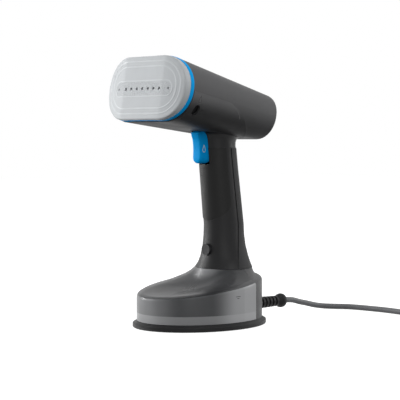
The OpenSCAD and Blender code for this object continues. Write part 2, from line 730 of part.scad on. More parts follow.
// Trigger group
pin_y = 2;
pin_z = 200;
knuckle_r = 4;
knuckle_w = 8.8;
blade_top = 194;
module blade_profile() {
    toe_r = 2;
    polygon([
        [-3, blade_top], [-8, 192.5], [-7.4, 189.5], [-5.9, 186.5],
        [-5.1, 182], [-4.7, 176], [-4.8, 170], [-5.3, 165.5],
        for (t = [180:30:270]) [-3.3 + toe_r * cos(t), 163.5 + toe_r * sin(t)],
        for (t = [270:30:360]) [7 + toe_r * cos(t), 163.5 + toe_r * sin(t)],
        [9, 184.5], [12.3, 186.5], [12.3, 190], [9, 192], [6, blade_top]]);
}
module knuckle_profile() {
    polygon([
        [-3, blade_top], [6, blade_top],
        for (t = [0:30:180]) [pin_y + knuckle_r * cos(t), pin_z + knuckle_r * sin(t)]]);
}
module across(w) { rotate([90, 0, 90]) translate([0, 0, -w / 2]) linear_extrude(w) children(); }
module trigger() {
    color("#1a9ae0") difference() {
        union() {
            across(trigger_w) blade_profile();
            across(knuckle_w) knuckle_profile();
        }
        rod_x(pin_d / 2 + 0.05, -trigger_w, trigger_w, pin_y, pin_z);
    }
}
ear_t = 2.5;
bracket_low = 185;
module trigger_pin() {
    color("#b9bcc0") rod_x(pin_d / 2, -slot_w / 2 - ear_t, slot_w / 2 + ear_t, pin_y, pin_z);
}
module trigger_bracket() {
    front = pin_y - 5;
    rear = slot_rear + 8;
    rest = barrel_wall + 0.1;
    color("#2a2b2d") for (s = [-1, 1]) difference() {
        translate([s * (slot_w + ear_t) / 2, 0, 0]) across(ear_t) polygon([
            [front, under_z(front) + rest], [slot_rear + 0.2, under_z(slot_rear) + rest],
            [slot_rear + 0.2, bracket_low], [rear, bracket_low], [rear, pin_z],
            [pin_y + 4, pin_z + 5], [front, pin_z + 4]]);
        rod_x(pin_d / 2, -30, 30, pin_y, pin_z);
        for (z = [switch_z + 3, switch_z + 8]) rod_x(1.1, -30, 30, slot_rear + 4.5, z);
    }
}
wire_r = 0.35;
// Wire wound round Z, with ten pieces to a turn.
module wound(r, turns, pitch) {
    skin(tube(
        [for (i = [0:10 * turns]) [r * cos(i * 36), r * sin(i * 36), i * pitch / 10]],
        wire_r, 6, [0, 0, 1]));
}
module trigger_spring() {
    color("#c3c6c8") for (s = [0, 1]) mirror([s, 0, 0])
        translate([knuckle_w / 2 + 0.6, pin_y, pin_z]) rotate([0, 90, 0]) wound(2.6, 1.4, 1);
}
switch_z = 185.5;
switch_l = 10.5;
plunger_d = 2.6;
plunger_z = 188.3;
module microswitch() {
    front = slot_rear + 0.6;
    color("#1d1e20") difference() {
        translate([-slot_w / 2 + 0.1, front, switch_z]) cube([slot_w - 0.2, 7, switch_l]);
        for (z = [switch_z + 3, switch_z + 8]) rod_x(1.1, -30, -slot_w / 2 + 2, slot_rear + 4.5, z);
        rod_y(plunger_d / 2 + 0.05, front - 1, front + 3.4, 0, plunger_z);
    }
}
module switch_plunger() {
    color("#d9483b") rod_y(plunger_d / 2, 12.8, slot_rear + 2.4, 0, plunger_z);
}

// Release button, its spring and the fork that holds the tank
button_y = 7.4;
button_t = 5.9;
stem_end = 28;
module release_button() {
    color("#202123") {
        rod_y(button_d / 2, button_y, button_y + button_t, 0, button_z);
        across(stem_w) polygon([
            [button_y + 4, button_z + stem_low], [stem_end, button_z + stem_low],
            [stem_end + stem_low - stem_top, button_z + stem_top], [button_y + 4, button_z + stem_top]]);
    }
}
module button_spring() {
    turns = 2.5;
    pitch = 1.2;
    color("#c3c6c8") translate([0, guide_y - 0.4 - turns * pitch, button_z - 1]) rotate([-90, 0, 0])
        wound(5, turns, pitch);
}
leg_x = 9.6;
leg_w = 2.6;
leg_y = 22;
leg_t = 2.6;
latch_depth = 1.2;
module tank_latch() {
    reach = stem_end + stem_low + 0.3;
    bar_top = button_z + 6;
    color("#2f3033") {
        across(2 * leg_x + leg_w) polygon([
            [leg_y, button_z + reach - leg_y], [reach + 2, button_z - 2], [reach + 3, button_z - 2],
            [reach + 3, bar_top], [leg_y, bar_top]]);
        for (s = [-1, 1]) translate([s * leg_x - leg_w / 2, leg_y, seam_z - latch_depth])
            cube([leg_w, leg_t, bar_top - seam_z + latch_depth]);
    }
}

// Water tank
tank_low = platform_z + tank_gap;
tank_back = frame_y - tank_gap;
valve_l = 12;
valve_r = spigot_d / 2 + 2.3;
module water_tank() {
    groove = 1.5;
    leg_gap = 0.4;
    color("#6d7073", 0.75) difference() {
        intersection() {
            skin(lower_rings(tank_low, seam_z - tank_gap, 0));
            half_space(-foot_d, tank_back, 0, seam_z);
        }
        intersection() {
            skin(lower_rings(tank_low + tank_wall, seam_z - tank_gap - tank_top_t, -tank_wall));
            half_space(-foot_d, tank_back - tank_wall, 0, seam_z);
        }
        translate([0, fill_y, seam_z - 12]) cylinder(d = fill_bore + 4, h = 13, $fn = 64);
        rod_y(valve_r, tank_back - valve_l, tank_back + 1, 0, spigot_z);
        for (s = [-1, 1])
            translate([s * leg_x - leg_w / 2 - leg_gap, leg_y - leg_gap, seam_z - tank_gap - groove])
                cube([leg_w + 2 * leg_gap, foot_d, 5]);
    }
}
flange_t = 1.4;
module fill_neck() {
    neck_l = 9;
    color("#8fa0ac") translate([0, fill_y, seam_z - tank_gap - neck_l]) difference() {
        cylinder(d = fill_bore + 4, h = neck_l, $fn = 64);
        translate([0, 0, -1]) cylinder(d = fill_bore, h = neck_l + 2, $fn = 64);
        translate([0, 0, neck_l - flange_t]) cylinder(d = fill_bore + 1.8, h = flange_t + 1, $fn = 64);
    }
}
module fill_plug() {
    color("#2c3640") translate([0, fill_y, seam_z - tank_gap - flange_t]) {
        translate([0, 0, -4]) cylinder(d = fill_bore - 0.2, h = 4, $fn = 64);
        cylinder(d = fill_bore + 1.6, h = flange_t, $fn = 64);
    }
}
module tank_valve() {
    color("#3a3d40") difference() {
        rod_y(valve_r, tank_back - valve_l, tank_back, 0, spigot_z);
        rod_y(spigot_d / 2 + 0.9, tank_back - valve_l + 2.5, tank_back + 1, 0, spigot_z);
        rod_y(1.4, tank_back - valve_l - 1, tank_back, 0, spigot_z);
    }
}

// Frame contents
module control_board() {
    board = [21, 1.6, 30];
    color("#1f6b3d") translate([10.5, 46, platform_z + 2.2]) cube(board);
    color("#3d3d3f") for (z = [14, 24]) translate([14, 47.6, z]) cube([12, 4, 7]);
}
module cord_clamp() {
    color("#3b3c3e") difference() {
        translate([-9, wall_b - 14, platform_z + 2.2]) cube([18, 5.5, 9]);
        rod_y(cord_d / 2, wall_b - 20, wall_b, 0, cord_z);
    }
}
module strain_relief() {
    bore = cord_d / 2 + 0.02;
    ribs = 8;
    collar = 7.5;
    end = relief_l;
    pitch = (end - 12.4) / ribs;
    tip_r = relief_d / 2 - 1.1;
    color("#1d1d1e") translate([0, wall_b - 8, cord_z]) rotate([-90, 0, 0])
        rotate_extrude($fn = 48) polygon(concat(
        [[bore, 0], [relief_d / 2 - 1, 0], [relief_d / 2 - 1, 8]],
        [for (i = [0:ribs - 1]) each let (y = 8.6 + i * pitch, r = mix(relief_d / 2, tip_r, i / ribs))
            [[r - 1, y], [r, y + 0.4], [r, y + pitch - 2], [r - 1, y + pitch - 1.6]]],
        [for (t = [-60:30:90]) [collar - 2.6 + 2.6 * cos(t), end + 1 + 4.4 * sin(t)]],
        [[bore, end + 8]]));
}
// Mains cord: hand-set route over the table, then a coil, then a short tail to the plug.
cord_exit = wall_b - 8 + relief_l + 8;
floor_z = cord_d / 2 + 0.05;
cord_route = [[0, cord_exit, cord_z], [0, 135, 14], [0, 146, 11.2], [0, 158, 8.6], [0, 170, 5.8],
    [2, 182, 3.8], [9, 193, floor_z], [20, 201, floor_z], [35, 205, floor_z], [52, 207, floor_z],
    [70, 208, floor_z], [86, 207, floor_z], [98, 206, floor_z], [109, 205, floor_z], [120, 205, floor_z]];
coil_mean_r = 5.5 * cord_d;
coil_out_r = coil_mean_r + coil_cols * cord_d / 2;
coil_h = coil_layers * cord_d;
coil_low = 0.05;
coil_x = 134;
coil_y = 205 + coil_out_r - cord_d / 2;
module power_cord() {
    color("#77787a") skin(tube(spline(cord_route, 2), cord_d / 2, 10, [0, 0, 1]));
}
module cord_coil() {
    color("#77787a") translate([coil_x, coil_y, coil_low]) rotate_extrude($fn = 96)
        translate([coil_mean_r, coil_h / 2]) polygon(rounded(coil_cols * cord_d, coil_h, cord_d / 2 - 0.1));
}
tail_y = coil_y + coil_out_r - cord_d / 2;
tail_route = [
    [coil_x, tail_y, coil_h - cord_d / 2], [coil_x - 12, tail_y, coil_h - cord_d / 2 - 0.6],
    [coil_x - 26, tail_y, 7], [coil_x - 40, tail_y, 8.4],
    [coil_x - 52, tail_y, 11.4], [coil_x - 60, tail_y, 13]];
module cord_tail() {
    color("#77787a") skin(tube(spline(tail_route, 2), cord_d / 2, 10, [0, 0, 1]));
}
module cord_tie() {
    strap = 1;
    w = coil_cols * cord_d;
    outer = rounded(w + 2 * strap, coil_h + 2 * strap, cord_d / 2);
    color("#1a1a1a") translate([coil_x, coil_y, coil_low]) rotate([0, 0, -28])
        rotate_extrude(angle = 20, $fn = 96) translate([coil_mean_r, coil_h / 2]) difference() {
            polygon([for (p = outer) [p.x, max(p.y, -coil_h / 2)]]);
            polygon(rounded(w + 0.1, coil_h + 0.1, cord_d / 2 - 0.1));
        }
}
plug_x = coil_x - 60;
module plug_body() {
    color("#1c1c1d") translate([plug_x, tail_y, 13]) rotate([0, -90, 0]) rotate_extrude($fn = 64)
        polygon([
            [0, 0], [4, 0], [5.4, 10], [8, 14], [12.4, 18],
            [12.9, 21], [12.9, 30], [12.2, 31], [0, 31]]);
}
module plug_pins() {
    color("#c9ccd0") for (s = [-1, 1]) translate([plug_x - 31, tail_y + s * 9.5, 13]) rotate([0, -90, 0]) {
        cylinder(d = 4.8, h = 17.5, $fn = 32);
        translate([0, 0, 17.5]) cylinder(d1 = 4.8, d2 = 3, h = 1.5, $fn = 32);
    }
}

foot_base();
bottom_plate();
foot_sole();
base_screws();
handle_shell();
grip_insert();
spine_cover();
saddle();
barrel_shell();
accent_ring();
steam_plate();
plate_carrier();
steam_generator();
generator_cover();
heating_element();
thermostat();
thermal_fuse();
generator_screws();
pump_body();
pump_coil();
pump_mounts();
inlet_hose();
steam_hose();
tank_spigot();
spigot_seal();
microswitch();
trigger_bracket();
trigger_pin();
control_board();
cord_clamp();
strain_relief();
switch_plunger();
trigger();
trigger_spring();
release_button();
button_spring();
tank_latch();
water_tank();
fill_neck();
tank_valve();
fill_plug();
power_cord();
cord_coil();
cord_tail();
cord_tie();
plug_body();
plug_pins();
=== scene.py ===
import json
import math

import bmesh
import bpy
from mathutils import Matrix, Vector
from mathutils.bvhtree import BVHTree


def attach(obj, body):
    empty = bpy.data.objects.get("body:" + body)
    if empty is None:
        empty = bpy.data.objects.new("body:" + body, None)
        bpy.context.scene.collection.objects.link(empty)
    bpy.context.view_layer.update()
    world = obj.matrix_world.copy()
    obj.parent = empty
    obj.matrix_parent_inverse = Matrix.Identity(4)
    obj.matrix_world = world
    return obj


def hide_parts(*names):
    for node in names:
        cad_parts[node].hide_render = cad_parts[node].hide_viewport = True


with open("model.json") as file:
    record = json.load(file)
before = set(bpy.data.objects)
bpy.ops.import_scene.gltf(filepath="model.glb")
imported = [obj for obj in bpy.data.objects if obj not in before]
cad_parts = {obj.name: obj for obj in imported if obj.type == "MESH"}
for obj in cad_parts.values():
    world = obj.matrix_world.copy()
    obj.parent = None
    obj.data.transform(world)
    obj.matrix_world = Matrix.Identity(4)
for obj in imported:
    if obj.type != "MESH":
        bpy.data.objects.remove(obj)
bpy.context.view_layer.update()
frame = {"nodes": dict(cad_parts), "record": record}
nodes = frame["nodes"]
MM = 0.001
scene = bpy.context.scene
scene.view_settings.view_transform = "Standard"


def link(obj):
    """Puts an object in the scene and gives it back."""
    scene.collection.objects.link(obj)
    return obj


def look_along(obj, direction):
    """Turns a camera or lamp so that it looks along a direction."""
    obj.rotation_mode = "QUATERNION"
    obj.rotation_quaternion = direction.to_track_quat("-Z", "Y")


# Camera ----------------------------------------------------------------------------------------
CAM_AZ, CAM_EL = math.radians(47.0), math.radians(2.6)
CAM_DIST, CAM_TARGET = 1.4, Vector((0, 0, 0.125))
SENSOR_MM, LENS_MM = 36, 126

to_camera = Vector((math.sin(CAM_AZ) * math.cos(CAM_EL), -math.cos(CAM_AZ) * math.cos(CAM_EL),
                    math.sin(CAM_EL)))
camera = link(bpy.data.objects.new("camera", bpy.data.cameras.new("camera")))
camera.data.sensor_width = SENSOR_MM
camera.data.lens = LENS_MM
camera.location = CAM_TARGET + to_camera * CAM_DIST
look_along(camera, -to_camera)
scene.camera = camera


# Materials -------------------------------------------------------------------------------------
SLOW_NOISE, GRAIN_DEPTH = 38, 0.0004    # scale of the slow changes; depth of the grain in metres


def srgb(r, g, b):
    """Linear colour from 0 to 255 screen values."""
    linear = (((c / 255 + 0.055) / 1.055) ** 2.4 if c > 10 else c / 255 / 12.92 for c in (r, g, b))
    return (*linear, 1)


def material(name, color, rough=0.45, metallic=0.0, grain=900, bump=0.02, vary=0.06, mottle=0.05,
             **extra):
    """Moulded or cast surface: fine grain in the bump, and slow changes in colour and roughness.

    Any other keyword is a socket of the shader, with _ for a space in its name.
    """
    m = bpy.data.materials.new(name)
    m.use_nodes = True
    t = m.node_tree
    b = t.nodes["Principled BSDF"]
    b.inputs["Metallic"].default_value = metallic
    for key, value in extra.items():
        b.inputs[key.replace("_", " ")].default_value = value
    place = t.nodes.new("ShaderNodeTexCoord").outputs["Object"]

    def noise(scale, detail):
        n = t.nodes.new("ShaderNodeTexNoise")
        n.inputs["Scale"].default_value = scale
        n.inputs["Detail"].default_value = detail
        t.links.new(place, n.inputs["Vector"])
        return n.outputs["Fac"]

    def spread(fac, low, high):
        """Stretches the middle of a noise to the range from low to high."""
        r = t.nodes.new("ShaderNodeMapRange")
        r.inputs["From Min"].default_value = 0.3
        r.inputs["From Max"].default_value = 0.7
        r.inputs["To Min"].default_value = low
        r.inputs["To Max"].default_value = high
        t.links.new(fac, r.inputs["Value"])
        return r.outputs["Result"]

    slow = noise(SLOW_NOISE, 3)
    t.links.new(spread(slow, rough - vary, rough + vary), b.inputs["Roughness"])
    mix = t.nodes.new("ShaderNodeMix")
    mix.data_type = "RGBA"
    mix.inputs["A"].default_value = tuple(c * (1 - mottle) for c in color[:3]) + (1,)
    mix.inputs["B"].default_value = tuple(min(1, c * (1 + mottle)) for c in color[:3]) + (1,)
    t.links.new(spread(slow, 0, 1), mix.inputs["Factor"])
    t.links.new(mix.outputs["Result"], b.inputs["Base Color"])
    p = t.nodes.new("ShaderNodeBump")
    p.inputs["Strength"].default_value = bump
    p.inputs["Distance"].default_value = GRAIN_DEPTH
    t.links.new(noise(grain, 2), p.inputs["Height"])
    t.links.new(p.outputs["Normal"], b.inputs["Normal"])
    return m


MATS = {
    "housing": material("housing_plastic", srgb(34, 34, 35), rough=0.42, grain=2200, bump=0.22,
                        Specular_IOR_Level=0.16, Sheen_Weight=0.3, Sheen_Roughness=0.25),
    "head": material("head_plastic", srgb(94, 94, 95), rough=0.5, grain=2200, bump=0.25,
                     Specular_IOR_Level=0.06),
    "saddle": material("saddle_plastic", srgb(108, 108, 109), rough=0.5, grain=2200, bump=0.25,
                       Specular_IOR_Level=0.06),
    "grip": material("grip_rubber", srgb(24, 24, 24), rough=0.42, grain=1600, bump=0.35,
                     Specular_IOR_Level=0.16, Sheen_Weight=0.4, Sheen_Roughness=0.25),
    "blue": material("blue_plastic", srgb(0, 168, 245), rough=0.5, grain=1500, bump=0.05,
                     Specular_IOR_Level=0.05),
    # A brighter copy of the blue plastic for the trigger alone: painted light on the trigger.
    "trigger": material("trigger_plastic", srgb(0, 172, 255), rough=0.5, grain=1500, bump=0.05,
                        Specular_IOR_Level=0.04),
    "plate": material("coated_plate", srgb(191, 195, 198), rough=0.5, grain=1800, bump=0.12,
                      Specular_IOR_Level=0.3),
    # Paler than the plate's face: a painted highlight along the raised ribs.
    "rib": material("plate_rib", srgb(200, 204, 207), rough=0.45, grain=1800, bump=0.1,
                    Specular_IOR_Level=0.3),
    "cast": material("cast_metal", srgb(150, 152, 154), rough=0.5, metallic=0.9, grain=500,
                     bump=0.4),
    "steel": material("steel", srgb(190, 192, 195), rough=0.25, metallic=1.0, grain=1400, bump=0.1),
    "nickel": material("nickel", srgb(246, 246, 247), rough=0.3, metallic=1.0, grain=1400,
                       mottle=0),
    "inner": material("inner_plastic", srgb(30, 30, 32), rough=0.45, grain=1500, bump=0.2,
                      Specular_IOR_Level=0.2),
    "light": material("light_plastic", srgb(206, 206, 198), rough=0.4, grain=1500, bump=0.1),
    "hose": material("silicone", srgb(206, 202, 190), rough=0.35, bump=0.05),
    "seal": material("seal_rubber", srgb(22, 22, 23), rough=0.6, grain=1200, bump=0.3),
    "copper": material("winding_tape", srgb(150, 92, 60), rough=0.5, grain=700, bump=0.3),
    "board": material("solder_mask", srgb(24, 100, 56), rough=0.35, grain=600, bump=0.1),
    "cord": material("cord_rubber", srgb(104, 105, 107), grain=1500, bump=0.2,
                     Specular_IOR_Level=0.3),
    "black": material("black_rubber", srgb(24, 24, 25), grain=1300, bump=0.3,
                      Specular_IOR_Level=0.15),
    "print": material("pad_print", srgb(205, 226, 240), grain=1500, bump=0.03),
    "print_dark": material("pad_print_dark", srgb(16, 16, 17), rough=0.5, grain=1500, bump=0.03),
    "foot": material("foot_plastic", srgb(80, 80, 81), grain=2200, bump=0.2,
                     Specular_IOR_Level=0.14),
    "tank": material("smoke_plastic", srgb(84, 85, 87), rough=0.3, vary=0.03, grain=300,
                     Specular_IOR_Level=0.25, Alpha=0.8),
    # Paler than the saddle: a painted highlight for the bead along the saddle's upper edge.
    "painted_bead_highlight": material("painted_highlight_plastic", srgb(100, 100, 101), rough=0.5, grain=2200, bump=0.15,
                       Specular_IOR_Level=0.12),
}


def calculator(tree):
    """Function that adds one Math node and gives its output; numbers and sockets may be mixed."""
    def calc(op, a, c=None):
        n = tree.nodes.new("ShaderNodeMath")
        n.operation = op
        for socket, value in zip(n.inputs, (a, c)):
            if isinstance(value, (int, float)):
                socket.default_value = value
            elif value is not None:
                tree.links.new(value, socket)
        return n.outputs[0]
    return calc


def tint(mat, share, color):
    """Mixes another colour into a material's base colour by a share from 0 to 1."""
    t = mat.node_tree
    b = t.nodes["Principled BSDF"]
    shade = t.nodes.new("ShaderNodeMix")
    shade.data_type = "RGBA"
    t.links.new(share, shade.inputs["Factor"])
    t.links.new(b.inputs["Base Color"].links[0].from_socket, shade.inputs["A"])
    shade.inputs["B"].default_value = color
    t.links.new(shade.outputs["Result"], b.inputs["Base Color"])


def along(mat, source, axis):
    """How far a point lies along an axis in metres, or how far the surface faces it."""
    t = mat.node_tree
    d = t.nodes.new("ShaderNodeVectorMath")
    d.operation = "DOT_PRODUCT"
    t.links.new(t.nodes.new("ShaderNodeTexCoord").outputs[source], d.inputs[0])
    d.inputs[1].default_value = axis
    return d.outputs["Value"]


def ramp(mat, value, start, end, top=1.0):
    """Share that goes smoothly from 0, where a value is at start, to top, where it is at end."""
    t = mat.node_tree
    r = t.nodes.new("ShaderNodeMapRange")
    r.interpolation_type = "SMOOTHSTEP"
    for key, number in (("From Min", start), ("From Max", end), ("To Min", 0.0), ("To Max", top)):
        r.inputs[key].default_value = number
    t.links.new(value, r.inputs["Value"])
    return r.outputs["Result"]


def graded(kind, source, axis, start, end, top, color):
    """Tints a material along an axis, by place in mm (source Object) or by facing (Normal)."""
    mat, unit = MATS[kind], MM if source == "Object" else 1
    tint(mat, ramp(mat, along(mat, source, axis), start * unit, end * unit, top), color)


# Painted shade and light, and tints that follow the form ------------------------------------------
HEAD_TILT = math.radians(9.5)
ALONG_X, ALONG_Y, ALONG_Z = (1, 0, 0), (0, 1, 0), (0, 0, 1)
ACROSS_HEAD = (0, math.sin(HEAD_TILT), math.cos(HEAD_TILT))
# The recess in each side of the head: centre, half sizes in mm, and how far its face leans.
CATCH_AT, CATCH_WIDE, CATCH_TALL, CATCH_DEEP = (50.07, -52.5, 213.3), 3.8, 5.6, 5
CATCH_LEAN = math.radians(34)


def painted_recess_shade(mat):
    """Painted deep shade in the two oval recesses for the accessory, one on each side of the head.
    """
    t = mat.node_tree
    calc = calculator(t)
    split, mirrored = t.nodes.new("ShaderNodeSeparateXYZ"), t.nodes.new("ShaderNodeCombineXYZ")
    t.links.new(t.nodes.new("ShaderNodeTexCoord").outputs["Object"], split.inputs[0])
    t.links.new(calc("ABSOLUTE", split.outputs["X"]), mirrored.inputs["X"])
    t.links.new(split.outputs["Y"], mirrored.inputs["Y"])
    t.links.new(split.outputs["Z"], mirrored.inputs["Z"])
    centre = Vector(CATCH_AT) * MM

    def offset(direction, size):
        """How far a point is from the centre in a direction, in half sizes."""
        d = t.nodes.new("ShaderNodeVectorMath")
        d.operation = "DOT_PRODUCT"
        t.links.new(mirrored.outputs[0], d.inputs[0])
        d.inputs[1].default_value = direction / (size * MM)
        return calc("SUBTRACT", d.outputs["Value"], centre.dot(direction) / (size * MM))

    sideways, across = Vector(ALONG_X), Vector(ACROSS_HEAD)
    wide = offset(Vector((0, math.cos(HEAD_TILT), -math.sin(HEAD_TILT))), CATCH_WIDE)
    tall = offset(sideways * math.sin(CATCH_LEAN) + across * math.cos(CATCH_LEAN), CATCH_TALL)
    deep = offset(sideways * math.cos(CATCH_LEAN) - across * math.sin(CATCH_LEAN), CATCH_DEEP)
    away = calc("ADD", calc("MULTIPLY", wide, wide), calc("MULTIPLY", tall, tall))
    inside = calc("MULTIPLY", calc("LESS_THAN", away, 1.0), calc("GREATER_THAN", deep, -1.0))
    # Painted shade: near black inside each recess.
    tint(mat, inside, srgb(4, 4, 4))


# The head and the saddle are one plastic. Painted shade darkens both towards where they turn in to
# the handle; the saddle's base colour is paler, and its painted shade goes all the way to the dark
# colour.
for kind, low, share in (("head", 194, 0.75), ("saddle", 198, 1.0)):
    graded(kind, "Object", ACROSS_HEAD, start=218, end=low, top=share, color=srgb(38, 38, 39))
    painted_recess_shade(MATS[kind])
# The foot's rim is a darker moulding than its frame.
graded("foot", "Object", ALONG_Z, start=7.4, end=6.8, top=1.0, color=srgb(30, 30, 31))
# The clear tank: painted light makes it paler at its back and at its front, and painted shade
# makes its upward-facing deck darker. It is also paler behind a faint step beside the handle and
# over its floor.
graded("tank", "Object", ALONG_Y, start=-30, end=0, top=0.8, color=srgb(196, 197, 199))
graded("tank", "Object", ALONG_Y, start=-56, end=-73, top=0.45, color=srgb(190, 191, 193))
graded("tank", "Object", ALONG_Y, start=9.2, end=9.9, top=0.14, color=srgb(225, 226, 228))
graded("tank", "Object", ALONG_Z, start=15.6, end=14.8, top=0.42, color=srgb(212, 213, 215))
graded("tank", "Normal", ALONG_Z, start=0.25, end=0.7, top=0.9, color=srgb(46, 47, 49))

# The steam plate: the middle of its face, its size and the band round the holes, in mm.
PLATE_Y, PLATE_Z = -73.4, 233.8
PLATE_W, PLATE_H, PLATE_RISE, CORNER_FLAT = 112.3, 62.1, 0.95, 1.0
BAND_W, BAND_H, BAND_EDGE = 82.0, 15.0, 0.4
SPECKLE, SPECK_SIZE, SPECK_SHARE, PIT_STRENGTH, PIT_DEPTH = 900, 0.35, 0.9, 0.5, 0.0003


def speckled_band(mat):
    """Fine speckle in the band round the steam holes; the rest of the face stays plain."""
    t = mat.node_tree
    b = t.nodes["Principled BSDF"]
    calc = calculator(t)
    middle = Vector((0, PLATE_Y, PLATE_Z)).dot(Vector(ACROSS_HEAD)) * MM
    x = calc("ABSOLUTE", along(mat, "Object", ALONG_X))
    u = calc("SUBTRACT", along(mat, "Object", ACROSS_HEAD), middle)
    over = calc("MAXIMUM", calc("SUBTRACT", x, (BAND_W - BAND_H) / 2 * MM), 0.0)
    away = calc("SQRT", calc("ADD", calc("MULTIPLY", over, over), calc("MULTIPLY", u, u)))
    inside = calc("LESS_THAN", away, (BAND_H / 2 - BAND_EDGE) * MM)
    dots = t.nodes.new("ShaderNodeTexVoronoi")
    dots.inputs["Scale"].default_value = SPECKLE
    t.links.new(t.nodes.new("ShaderNodeTexCoord").outputs["Object"], dots.inputs["Vector"])
    speck = calc("MULTIPLY", calc("SUBTRACT", dots.outputs["Distance"], SPECK_SIZE), inside)
    share = calc("MAXIMUM", calc("MULTIPLY", speck, SPECK_SHARE), 0.0)
    tint(mat, calc("MINIMUM", share, 1.0), srgb(150, 154, 157))
    grain = b.inputs["Normal"].links[0].from_node
    pit = t.nodes.new("ShaderNodeBump")
    pit.inputs["Strength"].default_value = PIT_STRENGTH
    pit.inputs["Distance"].default_value = PIT_DEPTH
    pit.invert = True
    t.links.new(speck, pit.inputs["Height"])
    t.links.new(grain.outputs["Normal"], pit.inputs["Normal"])
    t.links.new(pit.outputs["Normal"], b.inputs["Normal"])


speckled_band(MATS["plate"])


# CAD nodes -------------------------------------------------------------------------------------
SLOT_MAT = {
    "housing": "housing", "head_grey": "head", "soft_grip": "grip", "accent_blue": "blue",
    "plate": "plate", "tank": "tank", "cast": "cast", "steel": "steel", "inner_plastic": "inner",
    "light_plastic": "light", "hose": "hose", "seal": "seal", "copper": "copper", "board": "board",
    "cord": "cord", "black_rubber": "black",
}
NODE_MAT = {"foot_base": "foot", "saddle": "saddle", "plug_pins": "nickel"}
SHARP_ANGLE, SAME_POINT = math.radians(28), 0.000003


def smooth_group():
    """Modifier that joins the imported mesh's split points and smooths it up to a sharp angle."""
    g = bpy.data.node_groups.new("smooth_by_angle", "GeometryNodeTree")
    g.interface.new_socket("Geometry", in_out="INPUT", socket_type="NodeSocketGeometry")
    g.interface.new_socket("Geometry", in_out="OUTPUT", socket_type="NodeSocketGeometry")
    n = g.nodes
    start, end = n.new("NodeGroupInput"), n.new("NodeGroupOutput")
    merge = n.new("GeometryNodeMergeByDistance")
    merge.inputs["Distance"].default_value = SAME_POINT
    faces, edges = n.new("GeometryNodeSetShadeSmooth"), n.new("GeometryNodeSetShadeSmooth")
    faces.domain, edges.domain = "FACE", "EDGE"
    angle, less = n.new("GeometryNodeInputMeshEdgeAngle"), n.new("ShaderNodeMath")
    less.operation = "LESS_THAN"
    less.inputs[1].default_value = SHARP_ANGLE
    g.links.new(start.outputs[0], merge.inputs[0])
    g.links.new(merge.outputs[0], faces.inputs[0])
    g.links.new(faces.outputs[0], edges.inputs[0])
    g.links.new(angle.outputs["Unsigned Angle"], less.inputs[0])
    g.links.new(less.outputs[0], edges.inputs["Shade Smooth"])
    g.links.new(edges.outputs[0], end.inputs[0])
    return g


SMOOTH = smooth_group()
slot_of = {s["node"]: s["material_slot"] for s in frame["record"]["subparts"]}
for name, obj in nodes.items():
    obj.data.materials.clear()
    obj.data.materials.append(MATS[NODE_MAT.get(name, SLOT_MAT[slot_of[name]])])
    obj.modifiers.new("smooth", "NODES").node_group = SMOOTH
    obj.modifiers.new("even_normals", "WEIGHTED_NORMAL").keep_sharp = True


# Mains cord ------------------------------------------------------------------------------------
# Its route in mm: from the strain relief to the table, round the coil and on to the plug.
CORD_D, FLOOR_Z, EXIT = 6.0, 3.05, (0, 123.5, 15)
LEAD = [EXIT, (0, 135, 14), (0, 146, 11.2), (0, 158, 8.6), (0, 170, 5.8), (2, 182, 3.8),
        (9, 193, FLOOR_Z), (20, 201, FLOOR_Z), (35, 205, FLOOR_Z), (52, 207, FLOOR_Z),
        (70, 208, FLOOR_Z), (86, 207, FLOOR_Z), (98, 206, FLOOR_Z), (116, 205, FLOOR_Z)]
TAIL = [(122, 289, 8.4), (108, 289, 7), (94, 289, 8.4), (82, 289, 11.4), (74, 289, 13)]
COIL_X, COIL_Y, OUTER_R, INNER_R, START_ANGLE = 134, 247, 42, 24, -90
TURNS, TURN_POINTS, SPAN_POINTS = 7.5, 24, 3
# The turn in which the cord climbs to the upper layer, and the turn in which it is outermost again.
CLIMB_TURN, LAST_TURN = 3, 7
# Parts of a turn in which it steps outward, climbs and steps inward, as first share and length.
STEP_OUT, CLIMB, STEP_IN = (0.0, 0.36), (0.36, 0.28), (0.64, 0.36)


def step(u, span):
    """Goes smoothly from 0 to 1 within a span of a turn."""
    t = min(max((u - span[0]) / span[1], 0), 1)
    return t * t * (3 - 2 * t)


def coil_point(f):
    """Point of the coil after f turns: four turns wind inward on the table, four outward on top."""
    k = int(f)
    u = f - k
    low, high = FLOOR_Z, FLOOR_Z + CORD_D
    if k < CLIMB_TURN:
        r, z = OUTER_R - CORD_D * (k + step(u, STEP_IN)), low
    elif k == CLIMB_TURN:
        r, z = INNER_R, low + CORD_D * step(u, CLIMB)
    elif k < LAST_TURN:
        r, z = INNER_R + CORD_D * (k - CLIMB_TURN - 1 + step(u, STEP_OUT)), high
    else:
        r, z = OUTER_R, high
    a = math.radians(START_ANGLE + 360 * f)
    return Vector((COIL_X + r * math.cos(a), COIL_Y + r * math.sin(a), z))


def through(points):
    """Catmull-Rom curve through the points, with SPAN_POINTS pieces between two of them."""
    p = [Vector(q) for q in points]
    out = []
    for i in range(len(p) - 1):
        a, b, c, d = p[max(i - 1, 0)], p[i], p[i + 1], p[min(i + 2, len(p) - 1)]
        for s in range(SPAN_POINTS):
            t = s / SPAN_POINTS
            out.append(0.5 * (2 * b + (c - a) * t + (2 * a - 5 * b + 4 * c - d) * t * t
                              + (3 * b - a - 3 * c + d) * t ** 3))
    return out + [p[-1]]


